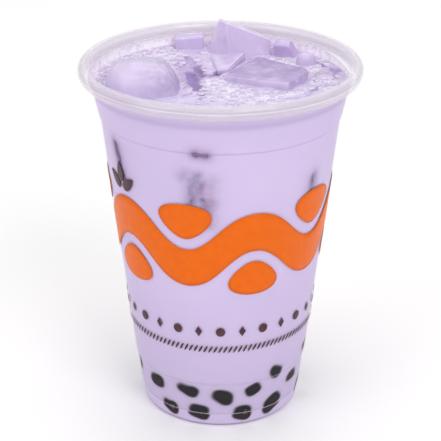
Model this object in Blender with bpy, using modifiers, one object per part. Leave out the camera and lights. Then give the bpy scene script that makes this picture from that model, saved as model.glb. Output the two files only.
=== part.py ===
"""Iced taro milk tea in a clear plastic cup, with ice standing out of the drink.

Millimetres are used for every size below and turned into metres by MM.
The cup stands on z = 0 with its axis on the Z axis. +X is to the right and +Y to the back.
"""

import math
import random

import bmesh
import bpy
import numpy as np
from mathutils import Euler, Vector, noise

MM = 0.001

# Driving sizes of the cup: a thermoformed cup of 500 ml, 95 mm over its rolled lip
RIM_RADIUS = 47.5
CUP_HEIGHT = 125.4
WALL = 0.5
LIP_WIDTH = 3.8
LIP_HEIGHT = 5.1
LIP_END_ANGLE = -105.0
LIP_POINTS = 10

# The outer face of the wall, from the foot up
FOOT_RADIUS = 26.9
HEEL_RADIUS = 27.8
HEEL_HEIGHT = 1.2
FOOT_RING_WIDTH = 3.2
BASE_LIFT = 2.2
BASE_SLOPE = 2.6
LOW_RING_HEIGHT = 5.6
LOW_RING_RADIUS = 28.75
LOW_RING_STEP = 0.15
HIGH_RING_HEIGHT = 18.2
HIGH_RING_RADIUS = 30.6
HIGH_RING_STEP = 0.4
STACK_RING_HEIGHT = 107.6
STACK_RING_RADIUS = 40.7
STACK_RING_STEP = 0.4
SHOULDER_HEIGHT = 116.0
SHOULDER_RADIUS = 42.95
NECK_HEIGHT = 120.0
NECK_RADIUS = 44.3
STEP_RISE = 0.5
TURN_STEPS = 48

# The drink
GAP = 0.3
DRINK_LEVEL = 117.8
SURFACE_RINGS = 10
MENISCUS_RISE = 0.5
MENISCUS_REACH = 1.6
RIPPLE_RISE = 0.35
RIPPLE_SIZE = 9.0
BUBBLE_SEED = 11
BUBBLE_COUNT = 40
BUBBLE_RADII = (0.9, 1.9)
BUBBLE_INNER_REACH = 0.3
BUBBLE_GAP = 0.35
BUBBLE_SEGMENTS = 8
BUBBLE_SINK = 0.35
LARGE_BUBBLE_PLACE = (34.6, 5.4)
LARGE_BUBBLE_RADIUS = 2.7

# Ice: place of the middle, size along its own axes, turn in degrees, rounding of the edges,
# how much narrower and shallower it is below, how much its width grows to the back and its
# depth to the right, and the corners that have broken off, each by three points of its plane
# in half sizes. Every piece stands partly above the drink.
ICE_BLOCKS = {
    "ice_block_back": dict(
        middle=(6.9, 31.0, 119.6), size=(18.0, 7.6, 18.6), turn=(-12.0, 7.4, 0.0), edge=0.8,
        narrow=(-0.17, -0.04), spread=(0.0, 0.0), seed=1,
        chips=[
            ((-0.95, -1.0, 1.0), (1.0, -1.0, 0.56), (-0.95, 1.0, 1.0)),
            ((-0.72, -1.0, 1.0), (-0.4, -1.0, -0.38), (-1.24, 0.5, -0.38)),
        ],
    ),
    "ice_block_front": dict(
        middle=(16.9, 3.0, 112.4), size=(24.2, 19.2, 17.4), turn=(3.0, -1.5, -33.5), edge=1.5,
        narrow=(0.08, 0.08), spread=(0.0, -0.19), seed=2, chips=[],
    ),
    "ice_block_middle": dict(
        middle=(2.2, 15.9, 115.5), size=(8.8, 15.0, 8.8), turn=(5.0, -7.0, -9.0), edge=1.0,
        narrow=(0.12, 0.12), spread=(0.55, 0.0), seed=3, chips=[],
    ),
    "ice_block_side": dict(
        middle=(23.2, 27.8, 118.2), size=(9.4, 6.4, 9.6), turn=(4.0, 1.0, -10.0), edge=0.9,
        narrow=(0.08, 0.14), spread=(0.0, 0.0), seed=4,
        chips=[((0.2, -1.0, 1.0), (1.0, -1.0, 0.0), (0.2, 1.0, 1.0))],
    ),
    "ice_block_left": dict(
        middle=(-10.9, 36.6, 117.2), size=(10.6, 4.6, 10.6), turn=(0.0, -4.0, 6.0), edge=0.8,
        narrow=(0.05, 0.12), spread=(0.0, 0.0), seed=5, chips=[],
    ),
}
ICE_DOMES = {
    "ice_dome_left": dict(
        middle=(-25.6, -6.6, 116.6), size=(27.2, 28.0, 23.6), turn=(0.0, 0.0, 14.0), seed=3,
    ),
    "ice_dome_right": dict(
        middle=(29.6, 18.8, 118.0), size=(7.6, 7.4, 8.4), turn=(0.0, 0.0, 20.0), seed=8,
    ),
}
ICE_UNEVENNESS = 0.04
CUTTER_SWELL = 1.25
DOME_LEVELS = 1
DOME_ROUNDNESS = 0.8
DOME_BULGE = 0.05
EDGE_SEGMENTS = 2

COLOURS = {
    "cup": dict(colour=(0.80, 0.76, 0.84), roughness=0.2, alpha=0.35),
    "drink": dict(colour=(0.64, 0.52, 0.79), roughness=0.35, alpha=1.0),
    "ice": dict(colour=(0.62, 0.52, 0.78), roughness=0.12, alpha=1.0),
}


def clear_scene():
    """Empties the scene of objects."""
    for old in list(bpy.data.objects):
        bpy.data.objects.remove(old)


def new_collection(name):
    """A collection under the scene's own."""
    collection = bpy.data.collections.new(name)
    bpy.context.scene.collection.children.link(collection)
    return collection


def new_material(name, colour, roughness, alpha):
    """A Principled material of one colour."""
    material = bpy.data.materials.new(name)
    material.use_nodes = True
    shader = material.node_tree.nodes["Principled BSDF"]
    shader.inputs["Base Color"].default_value = (*colour, 1.0)
    shader.inputs["Roughness"].default_value = roughness
    shader.inputs["Metallic"].default_value = 0.0
    shader.inputs["Alpha"].default_value = alpha
    return material


def new_object(name, mesh, collection, material=None):
    """Links a mesh as a named object."""
    piece = bpy.data.objects.new(name, mesh)
    collection.objects.link(piece)
    if material:
        mesh.materials.append(material)
    return piece


def profile_mesh(name, points):
    """A line of (radius, height) points in the XZ plane, in metres."""
    mesh = bpy.data.meshes.new(name)
    corners = [(radius * MM, 0.0, height * MM) for radius, height in points]
    edges = [(index, index + 1) for index in range(len(corners) - 1)]
    mesh.from_pydata(corners, edges, [])
    return mesh


def turn_profile(piece, steps=TURN_STEPS):
    """Turns the profile round the Z axis with a Screw modifier."""
    screw = piece.modifiers.new("turn", "SCREW")
    screw.axis = "Z"
    screw.angle = math.tau
    screw.steps = steps
    screw.render_steps = steps
    screw.use_merge_vertices = True
    screw.merge_threshold = 0.00001
    screw.use_smooth_shade = True
    return screw


def apply_modifiers(piece):
    """Bakes the modifiers into the object's own mesh."""
    bpy.context.view_layer.update()
    evaluated = piece.evaluated_get(bpy.context.evaluated_depsgraph_get())
    baked = bpy.data.meshes.new_from_object(evaluated)
    piece.modifiers.clear()
    piece.data = baked
    return piece


def shade(piece, sharp_angle=35.0):
    """Smooth shading, with edges sharper than the angle kept."""
    piece.data.shade_smooth()
    piece.data.set_sharp_from_angle(angle=math.radians(sharp_angle))


def inner_wall():
    """The face of the wall on the drink's side, from the foot groove up to the neck."""
    outer = [
        (HEEL_RADIUS, HEEL_HEIGHT),
        (LOW_RING_RADIUS - LOW_RING_STEP, LOW_RING_HEIGHT - STEP_RISE / 2),
        (LOW_RING_RADIUS, LOW_RING_HEIGHT + STEP_RISE / 2),
        (HIGH_RING_RADIUS - HIGH_RING_STEP, HIGH_RING_HEIGHT - STEP_RISE / 2),
        (HIGH_RING_RADIUS, HIGH_RING_HEIGHT + STEP_RISE / 2),
        (STACK_RING_RADIUS, STACK_RING_HEIGHT - STEP_RISE / 2),
        (STACK_RING_RADIUS + STACK_RING_STEP, STACK_RING_HEIGHT + STEP_RISE / 2),
        (SHOULDER_RADIUS, SHOULDER_HEIGHT),
        (NECK_RADIUS, NECK_HEIGHT),
    ]
    return [(radius - WALL, height) for radius, height in outer]


def base_line():
    """The base's upper face, from the axis out to the foot groove."""
    groove_out = FOOT_RADIUS - WALL * 0.6
    groove_in = groove_out - FOOT_RING_WIDTH
    return [
        (0.0, BASE_LIFT + WALL),
        (groove_in - BASE_SLOPE, BASE_LIFT + WALL),
        (groove_in, WALL),
        (groove_out, WALL),
    ]


def lip_line():
    """The rolled lip: an arc of an ellipse from the mouth over the top and under."""
    middle_radius = RIM_RADIUS - LIP_WIDTH / 2
    middle_height = CUP_HEIGHT - LIP_HEIGHT / 2
    angles = np.radians(np.linspace(180.0, LIP_END_ANGLE, LIP_POINTS))
    radii = middle_radius + LIP_WIDTH / 2 * np.cos(angles)
    heights = middle_height + LIP_HEIGHT / 2 * np.sin(angles)
    return list(zip(radii.tolist(), heights.tolist()))


def offset_line(points, distance):
    """Moves a line to its left by a distance, with the corners mitred."""
    line = np.array(points)
    steps = np.diff(line, axis=0)
    steps /= np.linalg.norm(steps, axis=1, keepdims=True)
    before = np.vstack([steps[:1], steps])
    after = np.vstack([steps, steps[-1:]])
    along = before + after
    along /= np.linalg.norm(along, axis=1, keepdims=True)
    stretch = 1.0 / np.maximum(0.5, (along * before).sum(axis=1, keepdims=True))
    sideways = np.stack([-along[:, 1], along[:, 0]], axis=1)
    return (line + sideways * stretch * distance).tolist()


def wall_radius(height):
    """Radius of the wall's inner face at a height."""
    line = inner_wall()
    return float(np.interp(height, [point[1] for point in line], [point[0] for point in line]))


def make_cup(collection):
    """The cup: one thin sheet from the base to the end of the rolled lip."""
    line = base_line() + inner_wall() + lip_line()
    material = new_material("cup_plastic", **COLOURS["cup"])
    cup = new_object("cup", profile_mesh("cup", line), collection, material)
    turn_profile(cup)
    thickness = cup.modifiers.new("wall", "SOLIDIFY")
    thickness.thickness = WALL * MM
    thickness.offset = -1.0
    thickness.use_even_offset = True
    apply_modifiers(cup)
    shade(cup)
    return cup


def surface_height(x, y):
    """Height of the drink's surface over its level: slow ripples, and a rise at the wall."""
    to_wall = wall_radius(DRINK_LEVEL) - GAP - math.hypot(x, y)
    ripple = noise.noise(Vector((x, y, 4.0)) / RIPPLE_SIZE) * RIPPLE_RISE
    fade = min(1.0, max(0.0, to_wall / MENISCUS_REACH))
    rise = MENISCUS_RISE * (1.0 - fade) ** 2
    return ripple * fade + rise


def make_drink_body(collection):
    """The drink up to its level, clear of the cup by the gap."""
    edge = wall_radius(DRINK_LEVEL) - GAP
    spread = np.linspace(0.0, 1.0, SURFACE_RINGS) ** 0.75
    top = [(edge * part, DRINK_LEVEL) for part in spread.tolist()]
    wetted = offset_line(base_line() + inner_wall(), GAP)
    side = [(radius, height) for radius, height in wetted if height < DRINK_LEVEL]
    material = new_material("drink_milk_tea", **COLOURS["drink"])
    drink = new_object("drink", profile_mesh("drink", top + side[::-1]), collection, material)
    turn_profile(drink)
    apply_modifiers(drink)
    for vertex in drink.data.vertices:
        if abs(vertex.co.z - DRINK_LEVEL * MM) < 0.01 * MM:
            vertex.co.z += surface_height(vertex.co.x / MM, vertex.co.y / MM) * MM
    return drink


def clear_of_ice(x, y, margin):
    """Whether a spot of the surface is further than the margin from every piece of ice."""
    for values in (*ICE_BLOCKS.values(), *ICE_DOMES.values()):
        turn = Euler([math.radians(angle) for angle in values["turn"]]).to_matrix()
        spot = turn.inverted() @ (Vector((x, y, DRINK_LEVEL)) - Vector(values["middle"]))
        width, depth = values["size"][:2]
        spread = 1.0 + max(map(abs, values.get("spread", (0.0, 0.0))))
        if abs(spot.x) < width * spread / 2 + margin and abs(spot.y) < depth * spread / 2 + margin:
            return False
    return True


def bubble_places():
    """Seeded places and radii of the foam's larger bubbles, none touching another."""
    draw = random.Random(BUBBLE_SEED)
    edge = wall_radius(DRINK_LEVEL) - GAP
    places = [(*LARGE_BUBBLE_PLACE, LARGE_BUBBLE_RADIUS)]
    while len(places) < BUBBLE_COUNT:
        radius = draw.uniform(*BUBBLE_RADII)
        reach = (edge - radius - BUBBLE_GAP) * math.sqrt(draw.uniform(BUBBLE_INNER_REACH, 1.0))
        angle = draw.uniform(0.0, math.tau)
        x = reach * math.cos(angle)
        y = reach * math.sin(angle)
        apart = all(math.hypot(x - a, y - b) > radius + r + BUBBLE_GAP for a, b, r in places)
        if apart and clear_of_ice(x, y, radius + BUBBLE_GAP):
            places.append((x, y, radius))
    return places


def make_bubbles(collection):
    """The foam's larger bubbles: low domes that rise from the surface."""
    bubbles = []
    for index, (x, y, radius) in enumerate(bubble_places()):
        mesh = bpy.data.meshes.new(f"bubble_{index}")
        work = bmesh.new()
        rings = BUBBLE_SEGMENTS // 2
        bmesh.ops.create_uvsphere(work, u_segments=BUBBLE_SEGMENTS, v_segments=rings, radius=radius * MM)
        work.to_mesh(mesh)
        work.free()
        bubble = new_object(f"bubble_{index}", mesh, collection)
        height = DRINK_LEVEL + surface_height(x, y) - radius * BUBBLE_SINK
        bubble.location = Vector((x, y, height)) * MM
        bubbles.append(bubble)
    return bubbles


def hide_cutter(piece):
    """Cutters are drawn as wires and never rendered."""
    piece.hide_render = True
    piece.display_type = "WIRE"


def join_bubbles(drink, bubbles, collection):
    """One union of the drink and the foam's bubbles."""
    union = drink.modifiers.new("foam", "BOOLEAN")
    union.operation = "UNION"
    union.operand_type = "COLLECTION"
    union.collection = collection
    union.solver = "MANIFOLD"
    apply_modifiers(drink)
    for bubble in bubbles:
        bpy.data.objects.remove(bubble)


def make_ice_block(name, collection, middle, size, turn, edge, narrow, spread, seed, chips, grow=0.0):
    """A block of ice: a box with uneven and broken corners, narrower below, with rounded edges."""
    draw = random.Random(seed)
    half = Vector(size) * (MM / 2)
    mesh = bpy.data.meshes.new(name)
    work = bmesh.new()
    bmesh.ops.create_cube(work, size=2.0)
    for corner in work.verts:
        x, y, z = corner.co
        width_taper, depth_taper = (1.0 - share * (1.0 - z) for share in narrow)
        uneven = [1.0 + draw.uniform(-ICE_UNEVENNESS, ICE_UNEVENNESS) for _ in range(3)]
        corner.co.x = x * width_taper * (1.0 + spread[0] * y) * uneven[0] * half.x
        corner.co.y = y * depth_taper * (1.0 + spread[1] * x) * uneven[1] * half.y
        corner.co.z = z * uneven[2] * half.z
    for first, second, third in chips:
        corners = [Vector(np.multiply(point, half)) for point in (first, second, third)]
        normal = (corners[1] - corners[0]).cross(corners[2] - corners[0]).normalized()
        if normal.dot(corners[0]) < 0.0:
            normal.negate()
        chip_off(work, corners[0], normal)
    work.to_mesh(mesh)
    work.free()
    block = new_object(name, mesh, collection)
    block.location = Vector(middle) * MM
    block.rotation_euler = Euler([math.radians(angle) for angle in turn])
    rounding = block.modifiers.new("edges", "BEVEL")
    rounding.width = edge * MM
    rounding.segments = EDGE_SEGMENTS
    rounding.limit_method = "ANGLE"
    rounding.angle_limit = math.radians(20.0)
    return wrap(block, grow)


def chip_off(work, point, normal):
    """Cuts off what lies outside a plane and closes the cut."""
    everything = [*work.verts, *work.edges, *work.faces]
    cut = bmesh.ops.bisect_plane(work, geom=everything, plane_co=point, plane_no=normal, clear_outer=True)
    rim = [part for part in cut["geom_cut"] if isinstance(part, bmesh.types.BMEdge)]
    bmesh.ops.edgenet_fill(work, edges=rim)
    bmesh.ops.recalc_face_normals(work, faces=work.faces)


def make_ice_dome(name, collection, middle, size, turn, seed, grow=0.0):
    """A melted piece of ice: a subdivided box, bulged unevenly."""
    mesh = bpy.data.meshes.new(name)
    work = bmesh.new()
    bmesh.ops.create_cube(work, size=1.0)
    bmesh.ops.subdivide_edges(work, edges=work.edges, cuts=2, use_grid_fill=True)
    for corner in work.verts:
        rounded = corner.co.normalized() * 0.5
        corner.co = corner.co.lerp(rounded, DOME_ROUNDNESS)
        bulge = 1.0 + DOME_BULGE * noise.noise(corner.co * 3.0 + Vector((seed, 0.0, 0.0)))
        corner.co = Vector([corner.co[axis] * size[axis] * bulge * MM for axis in range(3)])
    work.to_mesh(mesh)
    work.free()
    dome = new_object(name, mesh, collection)
    dome.location = Vector(middle) * MM
    dome.rotation_euler = Euler([math.radians(angle) for angle in turn])
    soft = dome.modifiers.new("melted", "SUBSURF")
    soft.levels = DOME_LEVELS
    soft.render_levels = DOME_LEVELS
    return wrap(dome, grow)


def wrap(piece, grow):
    """Moves the skin outwards by a distance and closes it as the tightest convex body."""
    apply_modifiers(piece)
    work = bmesh.new()
    work.from_mesh(piece.data)
    work.normal_update()
    moves = [vertex.normal * (grow * MM * CUTTER_SWELL) for vertex in work.verts]
    for vertex, move in zip(work.verts, moves):
        vertex.co += move
    hull = bmesh.ops.convex_hull(work, input=work.verts)
    inside = {part for part in (*hull["geom_interior"], *hull["geom_unused"], *hull["geom_holes"])}
    old_faces = [face for face in work.faces if face not in set(hull["geom"])]
    bmesh.ops.delete(work, geom=old_faces, context="FACES_KEEP_BOUNDARY")
    loose = [vertex for vertex in inside if isinstance(vertex, bmesh.types.BMVert) and vertex.is_valid]
    bmesh.ops.delete(work, geom=loose, context="VERTS")
    bmesh.ops.recalc_face_normals(work, faces=work.faces)
    work.to_mesh(piece.data)
    work.free()
    return piece


def make_ice(collection, cutters):
    """Every piece of ice, and the swollen copy that cuts its place in the drink."""
    material = new_material("ice_milky", **COLOURS["ice"])
    knives = []
    for table, make in ((ICE_BLOCKS, make_ice_block), (ICE_DOMES, make_ice_dome)):
        for name, values in table.items():
            piece = make(name, collection, **values)
            piece.data.materials.append(material)
            shade(piece, 50.0)
            knife = make(f"{name}_cutter", cutters, **values, grow=GAP)
            hide_cutter(knife)
            knives.append(knife)
    return knives


def cut_drink(drink, knives):
    """Cuts the place of every piece of ice out of the drink."""
    for knife in knives:
        cut = drink.modifiers.new("ice", "BOOLEAN")
        cut.operation = "DIFFERENCE"
        cut.object = knife
        apply_modifiers(drink)
    shade(drink, 40.0)


clear_scene()
parts = new_collection("taro_bubble_tea")
cutters = new_collection("cutters")
make_cup(parts)
drink = make_drink_body(parts)
foam = new_collection("foam")
join_bubbles(drink, make_bubbles(foam), foam)
cut_drink(drink, make_ice(parts, cutters))
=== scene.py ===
"""Looks of an iced taro milk tea with tapioca pearls, in a printed clear cup.

Sizes are in millimetres and become metres in new_piece. Angles round the cup are in degrees
from the front, positive to the right. Every surface is worked out as whole numpy arrays.
"""

import math

import bpy
import numpy as np
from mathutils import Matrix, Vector


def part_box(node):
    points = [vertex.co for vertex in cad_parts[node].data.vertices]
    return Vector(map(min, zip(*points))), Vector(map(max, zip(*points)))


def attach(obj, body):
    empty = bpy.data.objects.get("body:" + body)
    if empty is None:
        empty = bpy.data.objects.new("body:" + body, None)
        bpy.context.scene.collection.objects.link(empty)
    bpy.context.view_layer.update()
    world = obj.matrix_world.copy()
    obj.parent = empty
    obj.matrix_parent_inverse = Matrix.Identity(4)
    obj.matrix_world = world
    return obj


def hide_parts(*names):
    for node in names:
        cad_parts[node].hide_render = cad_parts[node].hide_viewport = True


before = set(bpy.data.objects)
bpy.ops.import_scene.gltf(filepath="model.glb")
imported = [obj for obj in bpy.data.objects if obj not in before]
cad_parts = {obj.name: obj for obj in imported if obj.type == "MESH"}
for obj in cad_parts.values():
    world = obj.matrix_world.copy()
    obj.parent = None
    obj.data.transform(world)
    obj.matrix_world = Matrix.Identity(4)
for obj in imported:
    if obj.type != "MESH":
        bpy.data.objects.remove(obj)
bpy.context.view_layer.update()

# The cup: a sheet of clear polypropylene, half a millimetre thick, drawn hot into a mould. Two
# rings stiffen the foot, a third catches the next cup in a stack, and the hot lip is rolled
# outwards. The rolled lip is the only part thick enough to look milky.
MM = 0.001
WALL = 0.5
CUP_LINE = [
    (0.0, 2.7), (20.44, 2.7), (23.4, 0.5), (26.6, 0.5), (27.3, 1.2),
    (28.1, 5.35), (28.25, 5.85), (29.7, 17.95), (30.1, 18.45),
    (40.2, 107.35), (40.6, 107.85), (42.45, 116.0), (43.8, 120.0), (43.7, 122.2),
]
CORNER_SOFTNESS = 0.28
LIP_MIDDLE = (45.6, 122.85)
LIP_HALF = (1.9, 2.55)
LIP_ANGLES = (180.0, -105.0)
NECK_END = 120.2
CUP_STEPS = 192
TURN_PER_POINT = math.radians(7.0)
RUN_PER_POINT = 5.0
POINTS_PER_MM = 9.0
FINE_REACH = 0.5
HAZE_WALL = 0.02
HAZE_LIP = 0.36
HAZE_AT_REFLECTIONS = 0.2
HAZE_FROM = 119.0
HAZE_TO = 121.5
# Painted reflections round the lip: degrees round its roll, width in degrees, and strength, white
# above zero and grey below.
LIP_REFLECTIONS = [
    (150.0, 26.0, 0.8), (100.0, 7.0, 0.45), (43.0, 5.0, -0.35), (19.0, 4.5, -0.7), (6.0, 5.0, 0.6),
]
# Gleams on the rings at the foot: height, width and strength.
RING_GLEAMS = [(5.85, 0.14, 0.5), (18.5, 0.12, 0.4)]
PLASTIC_TONE = (231, 223, 234)
REFLECTION_GREY = (176, 164, 184)
HIGHLIGHT_WHITE = (252, 248, 254)


def soften(line, spacing, softness):
    """Points at even steps along a line, each averaged with its neighbours by a bell curve."""
    line = np.array(line, float)
    run = np.concatenate([[0.0], np.cumsum(np.hypot(*np.diff(line, axis=0).T))])
    at = np.linspace(0.0, run[-1], int(run[-1] / spacing) + 1)
    even = np.stack([np.interp(at, run, line[:, axis]) for axis in (0, 1)], axis=1)
    reach = int(3 * softness / spacing) + 1
    bell = np.exp(-0.5 * (np.arange(-reach, reach + 1) * spacing / softness) ** 2)
    before = 2 * even[:1] - even[reach:0:-1]
    after = 2 * even[-1:] - even[-2:-reach - 2:-1]
    longer = np.concatenate([before, even, after])
    bell /= bell.sum()
    return np.stack([np.convolve(longer[:, axis], bell, "valid") for axis in (0, 1)], axis=1)


def thin_out(line, turn, run, fine):
    """Fewer points on a fine line: one for each share of a turn, plus one for each share of a run,
    and more of them, by a bell curve, near the heights that need a fine line."""
    step = np.diff(line, axis=0)
    length = np.hypot(*step.T)
    heading = np.unwrap(np.arctan2(step[:, 1], step[:, 0]))
    bend = np.abs(np.diff(heading, append=heading[-1]))
    near = np.exp(-(((line[1:, 1, None] - np.array(fine)) / FINE_REACH) ** 2)).sum(axis=1)
    points = bend / turn + length / run + length * near * POINTS_PER_MM
    count = np.concatenate([[0.0], np.cumsum(points)])
    at = np.linspace(0.0, count[-1], int(count[-1]) + 2)
    return np.stack([np.interp(at, count, line[:, axis]) for axis in (0, 1)], axis=1)


def beside(line, distance):
    """The line moved to its right by a distance, along the normal at each point."""
    along = np.gradient(line, axis=0)
    along /= np.linalg.norm(along, axis=1, keepdims=True)
    return line + np.stack([along[:, 1], -along[:, 0]], axis=1) * distance


def grid_faces(rows, columns, wrap=False):
    """Corners of the quads between points stored row by row. If it wraps, the last column meets
    the first."""
    row, column = np.meshgrid(np.arange(rows - 1), np.arange(columns - (not wrap)), indexing="ij")
    right = (column + 1) % columns
    here, above = row * columns, (row + 1) * columns
    corners = [here + column, here + right, above + right, above + column]
    return np.stack(corners, axis=-1).reshape(-1, 4)


def new_piece(name, points, faces):
    """A smooth mesh object at the origin, from points in millimetres and the corners of its faces."""
    mesh = bpy.data.meshes.new(name)
    mesh.from_pydata((np.asarray(points) * MM).tolist(), [], [list(face) for face in faces])
    mesh.shade_smooth()
    piece = bpy.data.objects.new(name, mesh)
    bpy.context.scene.collection.objects.link(piece)
    return piece


def turned(line, steps):
    """A line of (radius, height) carried round the Z axis, with one point each for its two ends,
    which lie on the axis."""
    angle = np.linspace(0.0, math.tau, steps, endpoint=False)
    radius, height = line[1:-1, 0, None], line[1:-1, 1, None]
    rings = np.stack([radius * np.cos(angle), radius * np.sin(angle), height + 0.0 * angle], axis=-1)
    points = np.concatenate([rings.reshape(-1, 3), [[0.0, 0.0, line[0, 1]], [0.0, 0.0, line[-1, 1]]]])
    here = np.arange(steps)
    there = (here + 1) % steps
    top = (len(line) - 3) * steps
    first = np.stack([np.full(steps, len(points) - 2), there, here], axis=1)
    last = np.stack([top + here, top + there, np.full(steps, len(points) - 1)], axis=1)
    quads = grid_faces(len(line) - 2, steps, wrap=True)
    return points, [*quads.tolist(), *first.tolist(), *last.tolist()]


def paint(piece, name, values):
    """One number for each vertex, under a name that the material reads."""
    layer = piece.data.attributes.new(name, "FLOAT", "POINT")
    layer.data.foreach_set("value", np.asarray(values, np.float32).ravel())


def ease(value, low, high):
    """Rises smoothly from 0 at the low mark to 1 at the high mark."""
    part = np.clip((value - low) / (high - low), 0.0, 1.0)
    return part * part * (3.0 - 2.0 * part)


def new_material(piece, name, **sockets):
    """A Principled material on the piece, its named sockets set. Gives its tree and shader."""
    material = bpy.data.materials.new(name)
    material.use_nodes = True
    shader = material.node_tree.nodes["Principled BSDF"]
    for socket, value in sockets.items():
        shader.inputs[socket.replace("_", " ")].default_value = value
    piece.data.materials.append(material)
    return material.node_tree, shader


def put(tree, socket, value):
    """Links a node's output into a socket, or sets the socket if the value is plain."""
    if isinstance(value, bpy.types.NodeSocket):
        tree.links.new(value, socket)
    else:
        socket.default_value = value


def painted(tree, name):
    """What paint stored under a name."""
    node = tree.nodes.new("ShaderNodeAttribute")
    node.attribute_name = name
    return node.outputs["Fac"]


def cloud(tree, size, detail=2.0, stretch=(1.0, 1.0, 1.0), roughness=0.5):
    """Soft noise between 0 and 1 with blots of about the given size, fixed to the object."""
    place = tree.nodes.new("ShaderNodeTexCoord")
    scaled = tree.nodes.new("ShaderNodeMapping")
    scaled.inputs["Scale"].default_value = stretch
    noise = tree.nodes.new("ShaderNodeTexNoise")
    noise.inputs["Scale"].default_value = 1.0 / (size * MM)
    noise.inputs["Detail"].default_value = detail
    noise.inputs["Roughness"].default_value = roughness
    tree.links.new(place.outputs["Object"], scaled.inputs["Vector"])
    tree.links.new(scaled.outputs["Vector"], noise.inputs["Vector"])
    return noise.outputs["Fac"]


def between(tree, value, low, high, to_low=0.0, to_high=1.0):
    """Carries a range of values to another range, without going past its ends."""
    node = tree.nodes.new("ShaderNodeMapRange")
    sockets = ("Value", "From Min", "From Max", "To Min", "To Max")
    for socket, number in zip(sockets, (value, low, high, to_low, to_high)):
        put(tree, node.inputs[socket], number)
    return node.outputs["Result"]


def blend(tree, share, first, second):
    """The first colour where the share is 0, the second where it is 1. A tuple is a colour as
    seen on a screen."""
    node = tree.nodes.new("ShaderNodeMix")
    node.data_type = "RGBA"
    put(tree, node.inputs["Factor"], share)
    for socket, tone in zip((6, 7), (first, second)):
        put(tree, node.inputs[socket], colour(tone) if isinstance(tone, tuple) else tone)
    return node.outputs[2]


def worked_out(tree, operation, first, second):
    """One number from two, by the named operation."""
    node = tree.nodes.new("ShaderNodeMath")
    node.operation = operation
    put(tree, node.inputs[0], first)
    put(tree, node.inputs[1], second)
    return node.outputs["Value"]


def relief(tree, shader, height, depth):
    """Bump from a height between 0 and 1 that stands for a depth in millimetres."""
    node = tree.nodes.new("ShaderNodeBump")
    node.inputs["Distance"].default_value = depth * MM
    tree.links.new(height, node.inputs["Height"])
    tree.links.new(node.outputs["Normal"], shader.inputs["Normal"])


def colour(tone):
    """A colour seen on a screen, 0 to 255, as the light values that shaders use."""
    seen = np.array(tone) / 255.0
    light = np.where(seen <= 0.04045, seen / 12.92, ((seen + 0.055) / 1.055) ** 2.4)
    return (*light.tolist(), 1.0)


lip_angle = np.radians(np.linspace(*LIP_ANGLES, 72))
lip_line = np.stack([
    LIP_MIDDLE[0] + LIP_HALF[0] * np.cos(lip_angle),
    LIP_MIDDLE[1] + LIP_HALF[1] * np.sin(lip_angle),
], axis=1)
inner_line = soften(CUP_LINE, 0.1, CORNER_SOFTNESS)
gleam_heights = [height for height, _, _ in RING_GLEAMS]
wetted_line = thin_out(inner_line, TURN_PER_POINT, RUN_PER_POINT, gleam_heights)
inside = np.concatenate([wetted_line, lip_line[1:]])
outside = beside(inside, WALL)
outside[0, 0] = 0.0
cup_points, cup_faces = turned(np.concatenate([outside, inside[::-1]]), CUP_STEPS)
cup = new_piece("cup_fine", cup_points, cup_faces)
out_of_lip = np.hypot(cup_points[:, 0], cup_points[:, 1]) - LIP_MIDDLE[0]
over_lip = cup_points[:, 2] - LIP_MIDDLE[1]
round_lip = np.degrees(np.arctan2(over_lip / LIP_HALF[1], out_of_lip / LIP_HALF[0]))


def bells(values, lines):
    """The sum of bell curves over the values, each given by its middle, width and strength."""
    return sum(strength * np.exp(-(((values - at) / width) ** 2)) for at, width, strength in lines)


# Painted light on the plastic: white and grey reflections round the lip and highlights on the foot
# rings. Both also make the plastic less clear there.
line = bells(round_lip, LIP_REFLECTIONS) * (cup_points[:, 2] > NECK_END)
gleam = bells(cup_points[:, 2], RING_GLEAMS)
haze = HAZE_WALL + (HAZE_LIP - HAZE_WALL) * ease(cup_points[:, 2], HAZE_FROM, HAZE_TO)
paint(cup, "haze", haze + HAZE_AT_REFLECTIONS * np.abs(line) + gleam)
paint(cup, "painted_highlight", np.maximum(line, 0.0) + gleam)
paint(cup, "painted_grey_reflection", np.maximum(-line, 0.0))

tree, shader = new_material(
    cup, "polypropylene", Roughness=0.16, IOR=1.49, Coat_Weight=0.6, Coat_Roughness=0.06,
)
plastic = blend(tree, painted(tree, "painted_grey_reflection"), PLASTIC_TONE, REFLECTION_GREY)
plastic = blend(tree, painted(tree, "painted_highlight"), plastic, HIGHLIGHT_WHITE)
put(tree, shader.inputs["Base Color"], plastic)
streaks = cloud(tree, 14.0, stretch=(1.0, 1.0, 0.12))
gloss = tree.nodes.new("ShaderNodeLayerWeight")
gloss.inputs["Blend"].default_value = 0.25
edge_on = between(tree, gloss.outputs["Facing"], 0.35, 1.0, 0.0, 0.3)
put(tree, shader.inputs["Alpha"], worked_out(tree, "ADD", painted(tree, "haze"), edge_on))
put(tree, shader.inputs["Roughness"], between(tree, streaks, 0.3, 0.7, 0.12, 0.22))
relief(tree, shader, streaks, 0.05)
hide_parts("cup")
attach(cup, "root")


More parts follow.
